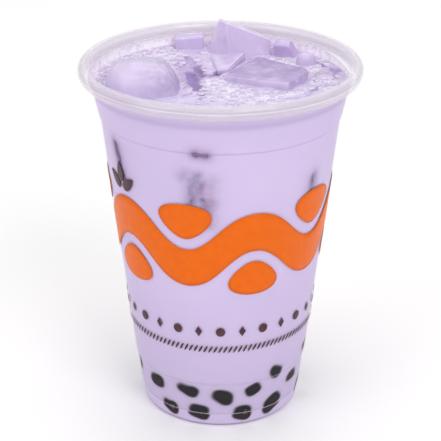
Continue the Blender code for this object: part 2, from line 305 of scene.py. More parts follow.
# The print: two inks screened onto the outside of the cup before it is filled. A broad orange
# ribbon waves round it, with a drop in each hollow. Over it stand two brown leaf sprigs, and
# under it run a row of brown dots and diamonds and a twisted cord.
INK_LIFT = 0.05
INK_DEPTH = 0.03
PRINT_RADIUS = 36.5
RIBBON_STEPS = 672
RIBBON_ROWS = 7
WAVES = 5
WAVE_MIDDLE = 72.0
WAVE_RISE = 6.6
WAVE_WIDTH = 11.0
WAVE_SWELL = 3.0
DROP_REACH = 10.6
DROP_SIZE = (8.4, 6.4)
DOT_HEIGHT = 40.6
DOT_COUNT = 28
DOT_SIZE = 1.75
DIAMOND_SHAPE = (0.75, 1.15)
CORD_HEIGHT = 33.5
CORD_COUNT = 120
CORD_SIZE = (0.45, 1.35)
CORD_SLANT = 0.55
SPRIG_TURNS = (-57.0, 159.0)
SPRIG_HEIGHT = 91.0
LEAF_SIZE = (1.7, 3.6)
LEAF_SPREAD = 48.0
LEAF_RISE = 3.2
LEAF_OUT = 3.6
LEAF_DROP = 0.4
ORANGE_INK = ((236, 107, 12), (232, 103, 12))
BROWN_INK = ((74, 48, 56), (92, 64, 72))


def wall_radius(height):
    """Radius of the wall's outer face at a height over the foot ring."""
    outer = beside(inner_line, WALL)
    climbing = outer[outer[:, 1] > 1.0]
    return np.interp(height, climbing[:, 1], climbing[:, 0])


def on_wall(around, height, lift):
    """A flat pattern laid round the cup: the way round over the print's radius is the angle, and
    the radius follows the wall."""
    angle = np.asarray(around) / PRINT_RADIUS
    radius = wall_radius(height) + lift
    return np.stack([radius * np.sin(angle), -radius * np.cos(angle), height + 0.0 * angle], axis=-1)


def blots(middles, outline, rings=4):
    """Filled shapes on the wall: each outline point is drawn in to its middle in even rings."""
    share = np.linspace(0.0, 1.0, rings + 1)[1:, None, None]
    count = len(outline)
    points, faces = [], []
    for turn, (around, height) in enumerate(middles):
        flat = np.concatenate([[[0.0, 0.0]], (share * outline).reshape(-1, 2)]) + (around, height)
        points.append(on_wall(flat[:, 0], flat[:, 1], INK_LIFT))
        start = turn * len(flat)
        here = start + 1 + np.arange(count)
        there = start + 1 + (np.arange(count) + 1) % count
        faces += np.stack([np.full(count, start), here, there], axis=1).tolist()
        faces += (grid_faces(rings, count, wrap=True)[:, ::-1] + start + 1).tolist()
    return np.concatenate(points), faces


def joined(parts):
    """Several (points, faces) as one."""
    starts = np.cumsum([0] + [len(points) for points, _ in parts])
    faces = [
        [corner + start for corner in face]
        for start, (_, group) in zip(starts, parts) for face in group
    ]
    return np.concatenate([points for points, _ in parts]), faces


def drop_outline(width, height, tip=0.0, count=28):
    """An oval whose sides draw in towards the top: its half width is the cosine times one less a
    share of the rise."""
    angle = np.linspace(0.0, math.tau, count, endpoint=False)
    rise = np.sin(angle)
    return np.stack([width * np.cos(angle) * (1.0 - tip * rise), height * rise], axis=1)


def turned_outline(outline, degrees):
    """An outline turned in its plane."""
    cos, sin = math.cos(math.radians(degrees)), math.sin(math.radians(degrees))
    return outline @ np.array([[cos, sin], [-sin, cos]])


girth = math.tau * PRINT_RADIUS
run = np.linspace(0.0, girth, RIBBON_STEPS, endpoint=False)
phase = run * math.tau * WAVES / girth
middle = WAVE_MIDDLE + WAVE_RISE * np.sin(phase)
slope = np.arctan(WAVE_RISE * math.tau * WAVES / girth * np.cos(phase))
half = (WAVE_WIDTH + WAVE_SWELL * np.abs(np.sin(phase)) ** 2) / 2
across = np.linspace(-1.0, 1.0, RIBBON_ROWS)[:, None] * half
ribbon = on_wall(run - across * np.sin(slope), middle + across * np.cos(slope), INK_LIFT)
ribbon_faces = grid_faces(RIBBON_ROWS, RIBBON_STEPS, wrap=True).tolist()
hollow_at = (np.arange(2 * WAVES) + 0.5) * girth / (2 * WAVES)
upper = [(at, WAVE_MIDDLE + DROP_REACH) for at in hollow_at[1::2]]
lower = [(at, WAVE_MIDDLE - DROP_REACH) for at in hollow_at[0::2]]
drop = drop_outline(*DROP_SIZE, tip=0.35)
orange = joined([
    (ribbon.reshape(-1, 3), ribbon_faces),
    blots(upper, turned_outline(drop, 180.0)),
    blots(lower, drop),
])
dots = [(at, DOT_HEIGHT) for at in np.arange(DOT_COUNT) * girth / DOT_COUNT]
cord = [(at, CORD_HEIGHT) for at in np.arange(CORD_COUNT) * girth / CORD_COUNT]
slanted = drop_outline(*CORD_SIZE, count=12)
slanted[:, 0] += CORD_SLANT * slanted[:, 1]
sprig = [math.radians(turn) * PRINT_RADIUS for turn in SPRIG_TURNS]
leaf = drop_outline(*LEAF_SIZE, tip=0.4, count=20)
brown = joined([
    blots(dots[0::2], drop_outline(DOT_SIZE, DOT_SIZE, count=20)),
    blots(dots[1::2], drop_outline(*(DOT_SIZE * share for share in DIAMOND_SHAPE), count=4), rings=6),
    blots(cord, slanted, rings=2),
    blots([(at, SPRIG_HEIGHT + LEAF_RISE) for at in sprig], leaf),
    *(
        blots([(at - hand * LEAF_OUT, SPRIG_HEIGHT - LEAF_DROP) for at in sprig],
              turned_outline(leaf, hand * LEAF_SPREAD))
        for hand in (1, -1)
    ),
])
for name, slot, shape, ink in (
    ("print_orange", "ink_orange", orange, ORANGE_INK),
    ("print_brown", "ink_brown", brown, BROWN_INK),
):
    printed = new_piece(name, *shape)
    film = printed.modifiers.new("film", "SOLIDIFY")
    film.thickness = INK_DEPTH * MM
    film.offset = -1.0
    tree, shader = new_material(printed, name, Roughness=0.35, IOR=1.5, Specular_IOR_Level=0.15)
    mottle = between(tree, cloud(tree, 2.5, detail=4.0), 0.35, 0.65)
    put(tree, shader.inputs["Base Color"], blend(tree, mottle, *ink))
    put(tree, shader.inputs["Roughness"], between(tree, mottle, 0.0, 1.0, 0.34, 0.4))
    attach(printed, "root")


# The ice: clear cubes broken and part melted, standing out of the drink. Milk has run over them,
# so they look lavender. Light is painted on them: paler on the sides that face a way set for each
# block, with painted highlights along the edges. The two that melted into domes carry frosty blots
# of painted shade on the side turned away.
ICE_NODES = sorted(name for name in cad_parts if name.startswith("ice_"))
ICE_GRID = 56
ICE_ROUNDING = 90.0
EDGE_ROUNDING = 24.0
BROAD_FACE = 0.12
TWIN_TURN = 0.95
MILK_LINE = 118.2
FOOT_REACH = 1.6
MELT_DEPTH = 0.05
MELT_SIZE = 4.5
CRACK_SPACING = 4.0
CRACK_BEND = 3.0
CRACK_PUSH = 2.0
MILKY_ICE = (212, 198, 230)
CRACK_WHITE = (244, 238, 252)
EDGE_HIGHLIGHT = (248, 243, 254)
FOOT_TONE = (214, 200, 232)
# The way each block's painted light comes from, its painted shaded and lit colours, and the strength
# of its painted edge highlights.
ICE_TONES = {
    "ice_block_back": ((-0.5, -0.3, 0.6), (193, 174, 218), (223, 208, 237), 0.4),
    "ice_block_front": ((-0.3, -0.9, -0.3), (130, 104, 168), (217, 200, 230), 0.35),
    "ice_block_middle": ((-0.8, -0.2, 0.5), (164, 146, 194), (206, 190, 223), 0.9),
    "ice_block_side": ((-0.6, -0.3, 0.5), (172, 146, 205), (198, 176, 222), 0.6),
    "ice_block_left": ((-0.3, -0.6, -0.6), (202, 186, 226), (216, 201, 234), 0.4),
    "ice_dome_left": ((-0.6, -0.5, 0.5), (166, 151, 191), (218, 205, 235), 0.0),
    "ice_dome_right": ((-0.5, -0.5, 0.6), (186, 170, 206), (212, 197, 230), 0.0),
}


def face_planes(node):
    """Middle of a solid's box in millimetres, its faces' planes as normals with distances from the
    middle, half the box's size, and which planes are broad faces, not chamfers, chips or twins of
    a larger face."""
    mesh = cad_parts[node].data
    count = len(mesh.polygons)
    normals, centres, areas = np.empty(count * 3), np.empty(count * 3), np.empty(count)
    mesh.polygons.foreach_get("normal", normals)
    mesh.polygons.foreach_get("center", centres)
    mesh.polygons.foreach_get("area", areas)
    low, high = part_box(node)
    middle = np.array((low + high) / 2) / MM
    real = areas > 0.001 * areas.max()
    normals = normals.reshape(-1, 3)[real]
    distances = ((centres.reshape(-1, 3)[real] / MM - middle) * normals).sum(axis=1)
    _, kept, plane = np.unique(np.round(normals, 2), axis=0, return_index=True, return_inverse=True)
    spread = np.bincount(plane.reshape(-1), areas[real])
    normals, distances = normals[kept], distances[kept]
    twin = (normals @ normals.T > TWIN_TURN) & (spread[None, :] > spread[:, None])
    broad = (spread > BROAD_FACE * spread.max()) & ~twin.any(axis=1)
    return middle, normals, distances, np.array(high - low) / MM / 2, broad


def reach(ways, normals, distances, power):
    """What each direction takes up of a convex body: the power sum of its shares of every plane's
    distance. Gives that, the largest share, and the planes' normals weighted in the same way."""
    shares = np.maximum(ways @ (normals / distances[:, None]).T, 0.0)
    most = shares.max(axis=1)
    weights = (shares / most[:, None]) ** power
    facing = weights @ normals
    facing /= np.linalg.norm(facing, axis=1, keepdims=True)
    return most * weights.sum(axis=1) ** (1.0 / power), most, facing


def cube_ways(count):
    """Directions through the points of a grid on each side of a cube, with the quads between them."""
    line = np.tan(np.linspace(-math.pi / 4, math.pi / 4, count))
    first, second = np.meshgrid(line, line, indexing="ij")
    one = np.ones_like(first)
    sides = [(one, first, second), (-one, second, first), (second, one, first),
             (first, -one, second), (first, second, one), (second, first, -one)]
    ways = np.concatenate([np.stack(side, axis=-1).reshape(-1, 3) for side in sides])
    quads = grid_faces(count, count)[:, ::-1]
    faces = np.concatenate([quads + side * count * count for side in range(6)])
    rounded = np.round(ways, 6)
    _, first_of, same_as = np.unique(rounded, axis=0, return_index=True, return_inverse=True)
    return ways[first_of], same_as.reshape(-1)[faces]


def waves(points, size, count, seed):
    """A smooth uneven field of about -1 to 1: the sum of sine waves of one length in seeded
    directions, over the root of their number."""
    draw = np.random.default_rng(seed)
    ways = draw.normal(size=(3, count))
    ways *= math.tau / size / np.linalg.norm(ways, axis=0)
    return np.sin(points @ ways + draw.uniform(0.0, math.tau, count)).sum(axis=1) / math.sqrt(count)


def crack_place(tree):
    """Object coordinates pushed about by noise, so that cracks wander."""
    place = tree.nodes.new("ShaderNodeTexCoord")
    noise = tree.nodes.new("ShaderNodeTexNoise")
    noise.inputs["Scale"].default_value = 1.0 / (CRACK_BEND * MM)
    pushed = tree.nodes.new("ShaderNodeVectorMath")
    pushed.operation = "MULTIPLY_ADD"
    pushed.inputs[1].default_value = (CRACK_PUSH * MM,) * 3
    tree.links.new(place.outputs["Object"], noise.inputs["Vector"])
    tree.links.new(noise.outputs["Color"], pushed.inputs[0])
    tree.links.new(place.outputs["Object"], pushed.inputs[2])
    return pushed.outputs["Vector"]


ice_planes = {node: face_planes(node) for node in ICE_NODES}
ways, ice_faces = cube_ways(ICE_GRID)
for seed, node in enumerate(ICE_NODES):
    middle, normals, distances, half, broad = ice_planes[node]
    scaled = ways * half
    full, _, facing = reach(scaled, normals, distances, ICE_ROUNDING)
    points = scaled / full[:, None]
    outwards = points / np.linalg.norm(points, axis=1, keepdims=True)
    melted = MELT_DEPTH * (1.0 - waves(points, MELT_SIZE, count=9, seed=seed))
    points = points - outwards * melted[:, None]
    ice = new_piece(f"{node}_fine", points + middle, ice_faces.tolist())
    # Painted highlights along the edges where two broad faces meet.
    soft_full, nearest, _ = reach(scaled, normals[broad], distances[broad], EDGE_ROUNDING)
    on_edge = 2.0 ** (1.0 / EDGE_ROUNDING) - 1.0
    paint(ice, "edge_highlight", np.clip((soft_full / nearest - 1.0) / on_edge, 0.0, 1.0))
    light_from, shaded, sunlit, edge_highlight_share = ICE_TONES[node]
    # Painted light: sides turned to the block's set way get the lit colour, the others the shaded
    # one.
    paint(ice, "lit", 0.5 + 0.5 * facing @ (np.array(light_from) / np.linalg.norm(light_from)))
    over_milk = np.maximum(points[:, 2] + middle[2] - MILK_LINE, 0.0)
    paint(ice, "foot", np.exp(-over_milk / FOOT_REACH))
    tree, shader = new_material(
        ice, f"{node}_ice", Roughness=0.2, IOR=1.31, Specular_IOR_Level=0.3,
        Coat_Weight=0.25, Coat_Roughness=0.03, Subsurface_Weight=0.1, Subsurface_Scale=2.0 * MM,
    )
    is_dome = "dome" in node
    inner = cloud(tree, 7.0, detail=2.5)
    lit = painted(tree, "lit")
    tone = blend(tree, between(tree, lit, 0.15, 0.95), shaded, sunlit)
    tone = blend(tree, between(tree, inner, 0.48, 0.72, 0.0, 0.2 if is_dome else 0.5), tone, shaded)
    tone = blend(tree, between(tree, inner, 0.30, 0.46, 0.4, 0.0), tone, MILKY_ICE)
    if is_dome:
        # Frosty blots of painted shade on the side of a dome turned away from its light.
        frost_and_shade = between(tree, cloud(tree, 1.5, detail=4.0), 0.42, 0.6, 0.0, 0.7)
        turned_away = between(tree, lit, 0.88, 0.55)
        tone = blend(tree, worked_out(tree, "MULTIPLY", frost_and_shade, turned_away), tone, shaded)
    else:
        crack = tree.nodes.new("ShaderNodeTexVoronoi")
        crack.feature = "DISTANCE_TO_EDGE"
        crack.inputs["Scale"].default_value = 1.0 / (CRACK_SPACING * MM)
        tree.links.new(crack_place(tree), crack.inputs["Vector"])
        cracked = between(tree, crack.outputs["Distance"], 0.0, 0.045, 1.0, 0.0)
        shown = between(tree, cloud(tree, 4.0), 0.56, 0.64, 0.0, 0.5)
        tone = blend(tree, worked_out(tree, "MULTIPLY", cracked, shown), tone, CRACK_WHITE)
    tone = blend(tree, between(tree, painted(tree, "edge_highlight"), 0.45, 1.0, 0.0, edge_highlight_share), tone, EDGE_HIGHLIGHT)
    tone = blend(tree, between(tree, painted(tree, "foot"), 0.0, 1.0, 0.0, 0.7), tone, FOOT_TONE)
    put(tree, shader.inputs["Base Color"], tone)
    relief(tree, shader, cloud(tree, 1.8, detail=2.0, stretch=(1.0, 1.0, 0.3)), 0.1)
    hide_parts(node)
    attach(ice, "root")


# Sunken ice: cubes of the same batch held under the surface, close to the wall. Where the layer of
# milk between one and the plastic is thin, a soft dark patch of painted shade shows on the drink.
# Each has its turn round the cup, its height, its gap to the wall, its size, lean and spin.
SUNK_ICE = [
    (-56.2, 98.6, 0.02, (8.0, 8.0, 13.0), (6.5, -14.0), 38.0),
    (-53.6, 92.2, 0.0, (3.4, 4.0, 1.8), (6.5, 0.0), 20.0),
    (-9.2, 107.8, 0.04, (4.8, 5.0, 1.2), (14.0, 3.0), 3.0),
    (-10.4, 90.8, 0.75, (8.0, 8.0, 17.0), (6.5, 2.0), 10.0),
    (-9.4, 95.6, 0.3, (2.6, 4.0, 5.0), (6.5, 12.0), 38.0),
    (-7.6, 88.0, 0.35, (4.6, 4.0, 8.0), (6.5, 10.0), 20.0),
    (-13.6, 100.0, 0.7, (6.0, 5.0, 2.4), (20.0, 0.0), 0.0),
    (50.8, 89.6, 0.0, (3.4, 3.4, 10.5), (6.5, 3.0), 45.0),
    (140.0, 99.0, 0.5, (9.0, 9.0, 16.0), (6.5, 4.0), 30.0),
    (-150.0, 96.0, 0.4, (9.0, 9.0, 14.0), (6.5, -8.0), 40.0),
]
SUNK_ROUNDING = 18.0
SUNK_GRID = 16
SUNK_SHADE_TONES = ((112, 92, 138), (140, 118, 168))
SIDE_NORMALS = np.concatenate([np.eye(3), -np.eye(3)])


def turn_matrix(x_turn, y_turn, z_turn):
    """A turn by degrees about X, then Y, then Z, as a matrix."""
    a, b, c = np.radians([x_turn, y_turn, z_turn])
    about_x = np.array([[1, 0, 0], [0, math.cos(a), -math.sin(a)], [0, math.sin(a), math.cos(a)]])
    about_y = np.array([[math.cos(b), 0, math.sin(b)], [0, 1, 0], [-math.sin(b), 0, math.cos(b)]])
    about_z = np.array([[math.cos(c), -math.sin(c), 0], [math.sin(c), math.cos(c), 0], [0, 0, 1]])
    return about_z @ about_y @ about_x


def box_share(ways, half):
    """What each direction takes up of a rounded box with the given half sizes."""
    return reach(ways, SIDE_NORMALS, np.concatenate([half, half]), SUNK_ROUNDING)[0]


def sunk_place(turn, height, gap, size, lean, spin):
    """Middle of a sunken block whose skin keeps a gap to the wall, its own axes as a matrix, and
    its half sizes."""
    own = turn_matrix(0.0, 0.0, turn) @ turn_matrix(*lean, 0.0) @ turn_matrix(0.0, 0.0, spin)
    half = np.array(size) / 2
    outwards = np.array([math.sin(math.radians(turn)), -math.cos(math.radians(turn)), 0.0])
    full = box_share((outwards @ own)[None], half)
    out = wall_radius(height) - WALL - gap - 1.0 / full[0]
    return outwards * out + (0.0, 0.0, height), own, half


sunk_parts = []
sunk_ways, sunk_faces = cube_ways(SUNK_GRID)
for block in SUNK_ICE:
    middle, axes_turn, half = sunk_place(*block)
    skin = sunk_ways * half / box_share(sunk_ways * half, half)[:, None]
    sunk_parts.append((skin @ axes_turn.T + middle, sunk_faces.tolist()))
sunk = new_piece("ice_sunk", *joined(sunk_parts))
tree, shader = new_material(sunk, "ice_sunk", Roughness=0.2, IOR=1.31)
# The blocks are painted the dark violet of the shade seen into clear ice.
put(tree, shader.inputs["Base Color"], blend(tree, cloud(tree, 4.0), *SUNK_SHADE_TONES))
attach(sunk, "root")


# Tapioca pearls: soft dark balls of cooked starch, lying two deep on the floor of the cup. Milk
# fills the wedge between a ball and the wall, so each shows as a dark spot with a soft rim.
PEARL_HALF = (4.7, 4.0, 3.7)
PEARL_SQUARENESS = 2.8
PEARL_SINK = 0.96
PEARL_DENTS = 0.06
DENT_SIZE = 1.7
# The pearls at the front: turn round the cup, height and size.
PEARLS_SEEN = [
    (-78.1, 14.9, 1.0), (-49.6, 14.6, 0.95), (-23.2, 15.2, 1.05), (0.6, 13.4, 1.05),
    (22.9, 15.2, 0.72), (39.1, 20.6, 0.9), (57.9, 14.6, 0.9), (76.7, 22.0, 1.0),
    (78.9, 7.0, 1.0), (-38.6, 6.4, 0.68), (-15.7, 6.9, 0.9), (14.8, 6.6, 0.8), (40.0, 7.6, 1.02),
]
PEARL_SEED = 21
# The rows round the back: height, first turn and spacing, up to the last turn.
PEARL_ROWS = ((7.0, 96.0, 19.0), (14.6, 100.0, 22.0))
PEARL_ROWS_END = 268.0
PEARL_JITTER = (6.0, 2.2, 0.12)
PEARL_GAP = 0.1
PEARL_TILT = 25.0
# The pearls on the floor: two rings, by radius and by which turns they use.
FLOOR_HEIGHT = 7.4
FLOOR_COUNT = 13
FLOOR_RINGS = ((15.5, 1), (6.2, 3))
PEARL_GRID = 10
STARCH_TONES = ((52, 42, 46), (74, 62, 64))
pearl_draw = np.random.default_rng(PEARL_SEED)
layout = [list(pearl) for pearl in PEARLS_SEEN]
for height, start, spacing in PEARL_ROWS:
    turns = np.arange(start, PEARL_ROWS_END, spacing)
    jitter = pearl_draw.uniform(-1.0, 1.0, (len(turns), 3)) * PEARL_JITTER
    layout += (np.stack([turns, 0.0 * turns + height, 0.0 * turns + 1.0], axis=1) + jitter).tolist()
layout = np.array(layout)
pearl_gap = pearl_draw.uniform(-PEARL_GAP, PEARL_GAP, len(layout))
ring_turns = np.arange(FLOOR_COUNT) * math.tau / FLOOR_COUNT
floor_turn = np.concatenate([ring_turns[::every] for _, every in FLOOR_RINGS])
floor_radius = np.concatenate([0.0 * ring_turns[::every] + radius for radius, every in FLOOR_RINGS])
floor_flat = floor_radius * np.stack([np.cos(floor_turn), np.sin(floor_turn)])
floor_pearls = np.column_stack([*floor_flat, np.full(len(floor_turn), FLOOR_HEIGHT)])
pearl_ways, pearl_faces = cube_ways(PEARL_GRID)
pearl_ways /= np.linalg.norm(pearl_ways, axis=1, keepdims=True)
all_sizes = np.concatenate([layout[:, 2], np.ones(len(floor_pearls))])
all_turns = np.concatenate([layout[:, 0], np.degrees(floor_turn)])
all_tilts = pearl_draw.uniform(-PEARL_TILT, PEARL_TILT, len(all_sizes))


def pearl_skin(ways, index):
    """Distance from a pearl's middle to its skin: a rounded block by the power sum of the way's
    shares of its half sizes, turned to face the wall and leant to a side, with dents of its own."""
    own = ways @ turn_matrix(0.0, 0.0, all_turns[index]) @ turn_matrix(0.0, all_tilts[index], 0.0)
    shares = np.abs(own / (np.array(PEARL_HALF) * all_sizes[index])) ** PEARL_SQUARENESS
    dents = 1.0 + PEARL_DENTS * waves(ways, DENT_SIZE, count=5, seed=PEARL_SEED + index)
    return shares.sum(axis=1) ** (-1.0 / PEARL_SQUARENESS) * dents


turn = np.radians(layout[:, 0])
outwards = np.stack([np.sin(turn), -np.cos(turn), 0.0 * turn], axis=1)
skins = np.array([pearl_skin(way[None], index)[0] for index, way in enumerate(outwards)])
pearl_out = wall_radius(layout[:, 1]) - WALL - skins - pearl_gap
pearl_middles = np.column_stack([(outwards * pearl_out[:, None])[:, :2], layout[:, 1]])
all_middles = np.concatenate([pearl_middles, floor_pearls])
pearls = new_piece("tapioca_pearls", *joined([
    (pearl_ways * pearl_skin(pearl_ways, index)[:, None] * PEARL_SINK + middle, pearl_faces.tolist())
    for index, middle in enumerate(all_middles)
]))
tree, shader = new_material(
    pearls, "tapioca", Roughness=0.3, IOR=1.42, Subsurface_Weight=0.15, Subsurface_Scale=1.0 * MM,
)
put(tree, shader.inputs["Base Color"], blend(tree, cloud(tree, 3.0), *STARCH_TONES))
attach(pearls, "root")


# The drink: milk tea coloured with taro, poured over ice. It is opaque, with froth on top, and a
# film of it clings to the wall above. It reaches a tenth of a millimetre into the wall, so that
# no gap of air shows behind the plastic.
LEVEL = 117.8
WALL_BITE = 0.1
DRINK_STEPS = 348
# Rows of points lie closer at the pearls, the sunken ice and the rings. A range of radius or
# height goes from where that starts to where it is full.
FINE_STEP = 0.42
COARSE_STEP = 2.4
FLOOR_EDGE = (20.0, 24.0)
PEARLS_END = (26.0, 30.0)
SUNK_ICE_FROM = (78.0, 82.0)
SUNK_ICE_SHARE = 0.7
RING_HEIGHTS = np.array([5.6, 18.15, 107.5])
RING_ROWS = 4.0
RING_REACH = 0.5
RING_WIDTH = 0.22
TOP_STEP = 0.6
# Milk before a pearl, from where its skin shows to where it is hidden, and a dark rim beyond.
PEARL_MILK = (0.3, 0.85)
PEARL_HALO = 0.8
PEARL_REACH = 12.0
ICE_FADE = 1.25
BLOCK_SOFTNESS = 0.8
FAR = 99.0
# The milk creeps up at the wall and the ice, and swells and ripples between.
WALL_CREEP = 0.4
CREEP_REACH = 1.6
ICE_CREEP = 0.3
ICE_CREEP_REACH = 0.7
ICE_CREEP_DEPTH = 2.0
SWELL = (0.22, 7.5)
RIPPLE = (0.05, 2.2)
GAP_DEPTH = 1.6
# The film on the wall thins to its top, and dips on the right: turn, width and share.
SHOULDER = 110.0
FILM_TOP = 121.7
FILM_ROWS = 9
FILM_FOOT = 0.12
FILM_THICKNESS = 0.35
FILM_TAPER = 0.7
FILM_DIP = (78.0, 38.0, 0.75)
FILM_WAVES = 0.14
FILM_LEAST = 0.1
# Under the lowest ring the plastic shows the foot of each pearl a second time.
CRESCENT_TOP = 5.3
CRESCENT_RADIUS = 25.0
CRESCENT_LIFT = 1.2
NECK_SHADE = (117.2, 1.1, 0.8)
LOW_HEIGHTS = (4.0, 70.0)
# How frothy the surface is: evenly, unevenly, more where creamy, less in a gap.
FROTH_SHARES = (0.25, 0.15, 0.75, 1.2)
WANDER = 0.5
WANDER_SIZE = 4.0
# Gaps between the froth and the ice, where the surface sinks and is painted with shade, as strokes:
# width, strength and corners.
GAPS = [
    (2.2, 1.0, [(-9.8, 9.8), (-9.0, 1.3), (-8.5, -6.8)]),
    (1.6, 0.4, [(-11.5, 26.3), (-10.3, 18.4), (-9.8, 9.8)]),
    (1.3, 1.0, [(-8.2, 16.3), (-7.1, 10.8), (-5.7, 5.5), (-3.3, 5.5), (-0.6, 9.2)]),
    (0.55, 0.45, [(-8.0, -11.6), (-4.8, -8.2)]),
    (0.55, 0.5, [(-7.8, -15.0), (-4.4, -11.6)]),
    (0.5, 0.4, [(-7.0, -18.2), (-4.0, -15.0)]),
    (0.5, 0.35, [(-12.0, -14.4), (-9.0, -11.0)]),
    (0.9, 0.6, [(33.0, 20.1), (38.5, 13.5), (42.0, 11.0)]),
    (1.3, 0.55, [(38.4, 12.0), (38.8, 4.9)]),
    (0.6, 0.4, [(20.0, -19.0), (30.0, -14.0)]),
    (3.0, 0.22, [(33.0, 3.0), (36.0, 12.0)]),
    (2.4, 0.3, [(-13.9, 22.9), (-12.9, 11.9), (-11.3, -0.7)]),
    (1.6, 0.4, [(28.2, -10.8), (31.0, -7.8), (34.6, -2.8)]),
]
DARK_GAP = 2
# Creamy froth, as strokes.
CREAM = [
    (6.0, 1.0, [(-1.0, -2.0), (0.5, -13.0), (14.0, -17.5)]),
    (1.1, 1.0, [(17.2, -15.7), (28.2, -9.8)]),
    (3.6, 1.0, [(34.5, -6.0), (33.5, 6.0), (32.0, 14.0)]),
    (6.0, 1.0, [(24.0, 34.0), (34.0, 24.0)]),
    (4.5, 1.0, [(20.0, 24.0), (31.0, 17.0)]),
    (4.0, 0.9, [(-37.0, 18.0), (-30.0, 27.0), (-20.0, 32.0)]),
    (1.8, 1.0, [
        (-40.5, -9.0), (-41.3, 6.0), (-36.0, 20.5), (-26.0, 32.5), (-12.0, 39.8), (4.0, 41.5),
    ]),
    (3.0, 0.8, [(-19.0, 24.0), (-14.0, 30.0)]),
    (3.0, 0.8, [(-24.0, -30.0), (0.0, -38.0), (24.0, -31.0)]),
]
MILK_TONES = ((209, 193, 230), (214, 197, 233))
LOW_MILK = (201, 186, 220)
HALO_TONE = (176, 168, 184)
PATCH_SHADE_TONES = ((122, 108, 146), (136, 104, 138))
PATCH_SHADE_CORE = (58, 42, 76)
RING_SHADE = (168, 150, 192)
UNDER_RING_LIGHT = (212, 196, 231)
PEARL_TONE = (34, 31, 35)
CRESCENT_TONE = (44, 33, 36)
FROTH_TONES = ((199, 184, 219), (236, 228, 246))
MOTTLE_TONE = (200, 184, 218)
FILM_LIGHT_TONES = ((252, 245, 254), (220, 206, 233))
GAP_SHADE = (142, 116, 178)
DEEP_GAP_SHADE = (158, 142, 182)

drink_line = beside(inner_line, WALL_BITE)
drink_line[0, 0] = 0.0
run = np.concatenate([[0.0], np.cumsum(np.hypot(*np.diff(drink_line, axis=0).T))])
density = 1.0 / COARSE_STEP + (1.0 / FINE_STEP - 1.0 / COARSE_STEP) * np.maximum(
    ease(drink_line[:, 0], *FLOOR_EDGE) * (1.0 - ease(drink_line[:, 1], *PEARLS_END)),
    SUNK_ICE_SHARE * ease(drink_line[:, 1], *SUNK_ICE_FROM),
)
density += bells(drink_line[:, 1], [(height, RING_REACH, RING_ROWS) for height in RING_HEIGHTS])
count = np.concatenate([[0.0], np.cumsum(np.diff(run) * density[1:])])
below = drink_line[:, 1] < LEVEL + WALL_CREEP
at = np.arange(0.0, count[below][-1], 1.0)
side = np.stack([np.interp(at, count, drink_line[:, axis]) for axis in (0, 1)], axis=1)
climbing = drink_line[drink_line[:, 1] > SHOULDER]
brim = float(np.interp(LEVEL, climbing[:, 1], climbing[:, 0]))
top_radius = np.arange(brim - FILM_THICKNESS, 0.0, -TOP_STEP)
top = np.stack([np.append(top_radius, 0.0), np.full(len(top_radius) + 1, LEVEL)], axis=1)
climb = np.linspace(FILM_FOOT, 1.0, FILM_ROWS)
film = np.zeros((2 * FILM_ROWS, 2))  # its rows are placed below
drink_points, drink_faces = turned(np.concatenate([side, film, top]), DRINK_STEPS)
rows = drink_points[:-2].reshape(-1, DRINK_STEPS, 3)
first_film = len(side) - 1
first_top = first_film + 2 * FILM_ROWS
around = np.linspace(0.0, math.tau, DRINK_STEPS, endpoint=False)
from_front = (np.degrees(around) + 270.0) % 360.0 - 180.0
unit_ring = np.stack([np.cos(around), np.sin(around), 0.0 * around], axis=1)
film_share = 1.0 - bells(from_front, [FILM_DIP])
film_share *= 1.0 - FILM_WAVES * (1.0 - waves(unit_ring, 0.5, count=6, seed=8))
film_share = np.clip(film_share, FILM_LEAST, 1.0)
up = np.concatenate([climb, climb[::-1]])[:, None] * film_share
inner_face = FILM_THICKNESS * (1.0 - FILM_TAPER * climb[::-1])
inset = np.concatenate([0.0 * climb, inner_face])[:, None]
film_height = LEVEL + WALL_CREEP + up * (FILM_TOP - LEVEL - WALL_CREEP)
film_radius = np.interp(film_height, climbing[:, 1], climbing[:, 0]) - inset
rows[first_film:first_top] = np.stack(
    [film_radius * np.cos(around), film_radius * np.sin(around), film_height], axis=-1,
)
row_of = np.append(np.repeat(np.arange(len(rows)), DRINK_STEPS), [0, len(rows)])
on_top = row_of >= first_top
milky = row_of >= first_film + FILM_ROWS


def outside_of(points, node):
    """Distance of points from a convex solid's nearest face plane, below zero inside."""
    middle, normals, distances, _, _ = ice_planes[node]
    return ((points - middle) @ normals.T - distances).max(axis=1)


def stroke(points, width, strength, line):
    """A soft stroke along a line of corners: e to the power of less the cube of the distance from
    its nearest run over the width, times its strength."""
    nearest = np.full(len(points), FAR)
    for start, end in zip(np.array(line[:-1]), np.array(line[1:])):
        along = ((points[:, :2] - start) @ (end - start)) / ((end - start) ** 2).sum()
        foot = start + np.clip(along, 0.0, 1.0)[:, None] * (end - start)
        nearest = np.minimum(nearest, np.linalg.norm(points[:, :2] - foot, axis=1))
    return strength * np.exp(-((nearest / width) ** 3))


def strokes(points, lines):
    """The strongest of several strokes at each point."""
    return np.max([stroke(points, *values) for values in lines], axis=0)


